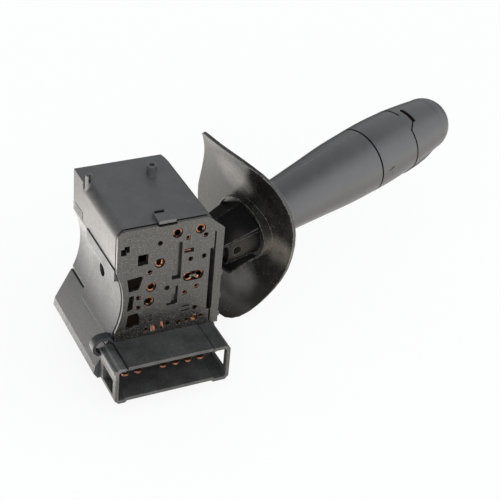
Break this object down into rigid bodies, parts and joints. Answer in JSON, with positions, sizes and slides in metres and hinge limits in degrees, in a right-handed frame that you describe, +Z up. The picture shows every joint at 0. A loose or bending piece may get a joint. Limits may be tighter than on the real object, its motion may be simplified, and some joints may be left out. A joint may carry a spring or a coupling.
{
  "type": "steering column stalk switch",
  "caption": "Steering column stalk switch: tilting, pulling lever with turning light sleeve and horn cap, leaf-shaped shield, contact housing and plug connector.",
  "frame": {"origin": "centre of the round locating peg at its foot, on the cover's top face", "axes": "+Z up along the locating peg, +Y along the steering column towards the wheel, +X from the column saddle towards the lever; the contact plate and the plug mouth face -Y"},
  "size_m": [0.185, 0.087, 0.0865],
  "materials": {
    "housing_plastic": "moulded, lightly grained",
    "cover_plastic": "moulded, lightly grained",
    "plate_plastic": "fine spark texture",
    "connector_plastic": "grainy, glass-filled",
    "copper": "stamped, unplated",
    "natural_plastic": "self-lubricating",
    "black_plastic": "semi-gloss",
    "spring_steel": "drawn wire",
    "pin_steel": "ground",
    "shield_plastic": "satin",
    "handle_plastic": "soft-touch grain",
    "contact_brass": "stamped"
  },
  "bodies": {
    "housing": {"base_housing": "housing_plastic", "top_cover": "cover_plastic", "contact_plate": "plate_plastic", "terminal_blades": "copper", "contact_tracks": "copper", "contact_rivets": "copper", "connector_shroud": "connector_plastic", "detent_cam": "natural_plastic", "cancel_pin": "pin_steel"},
    "tilt_yoke": {"yoke": "black_plastic"},
    "stalk": {"stalk_arm": "black_plastic", "leaf_shield": "shield_plastic", "stalk_handle": "handle_plastic", "detent_spring": "spring_steel", "light_contact_disc": "contact_brass", "sleeve_detent_ball": "pin_steel", "sleeve_detent_spring": "spring_steel"},
    "turning_sleeve": {"light_sleeve": "handle_plastic", "light_rotor": "natural_plastic", "rotor_bridges": "copper", "horn_spring": "spring_steel", "horn_contact": "copper"},
    "push_cap": {"horn_cap": "handle_plastic"},
    "plunger": {"detent_plunger": "natural_plastic"},
    "indicator_contacts": {"indicator_slider": "natural_plastic", "indicator_bridges": "copper"},
    "beam_contacts": {"beam_slider": "natural_plastic", "beam_bridge": "copper"},
    "cancelling": {"cancel_finger": "natural_plastic"}
  },
  "joints": [
    {"name": "indicator_tilt", "type": "hinge", "parent": "housing", "child": "tilt_yoke", "pos_m": [-0.0028, -0.0195, -0.0331], "axis": [0, -1, 0], "range_deg": [-14, 14]},
    {"name": "beam_pull", "type": "hinge", "parent": "tilt_yoke", "child": "stalk", "pos_m": [-0.0028, -0.0195, -0.0331], "axis": [0, 0, 1], "range_deg": [0, 9], "stiffness_Nm_per_rad": 1.5, "springref_deg": -5.73},
    {"name": "light_turn", "type": "hinge", "parent": "stalk", "child": "turning_sleeve", "pos_m": [-0.0028, -0.0195, -0.0331], "axis": [0.9471, 0.2968, 0.1219], "range_deg": [0, 50]},
    {"name": "horn_push", "type": "slide", "parent": "turning_sleeve", "child": "push_cap", "axis": [-0.9471, -0.2968, -0.1219], "range_m": [0, 0.0005], "stiffness_N_per_m": 2500, "springref_m": -0.0015},
    {"name": "detent_press", "type": "slide", "parent": "stalk", "child": "plunger", "axis": [1, 0, 0], "range_m": [0, 0.0008], "stiffness_N_per_m": 1500, "springref_m": -0.001},
    {"name": "indicator_slide", "type": "slide", "parent": "housing", "child": "indicator_contacts", "axis": [0, 0, 1], "range_m": [-0.0026, 0.0026]},
    {"name": "beam_slide", "type": "slide", "parent": "housing", "child": "beam_contacts", "axis": [1, 0, 0], "range_m": [0, 0.0017]},
    {"name": "cancel_swing", "type": "hinge", "parent": "housing", "child": "cancelling", "pos_m": [-0.0098, 0.0033, -0.03], "axis": [0, 1, 0], "range_deg": [-18, 18], "stiffness_Nm_per_rad": 0.02}
  ],
  "couplings": [
    {"joint": "indicator_slide", "follows": "indicator_tilt", "m_per_rad": -0.0105},
    {"joint": "beam_slide", "follows": "beam_pull", "m_per_rad": 0.0104}
  ]
}
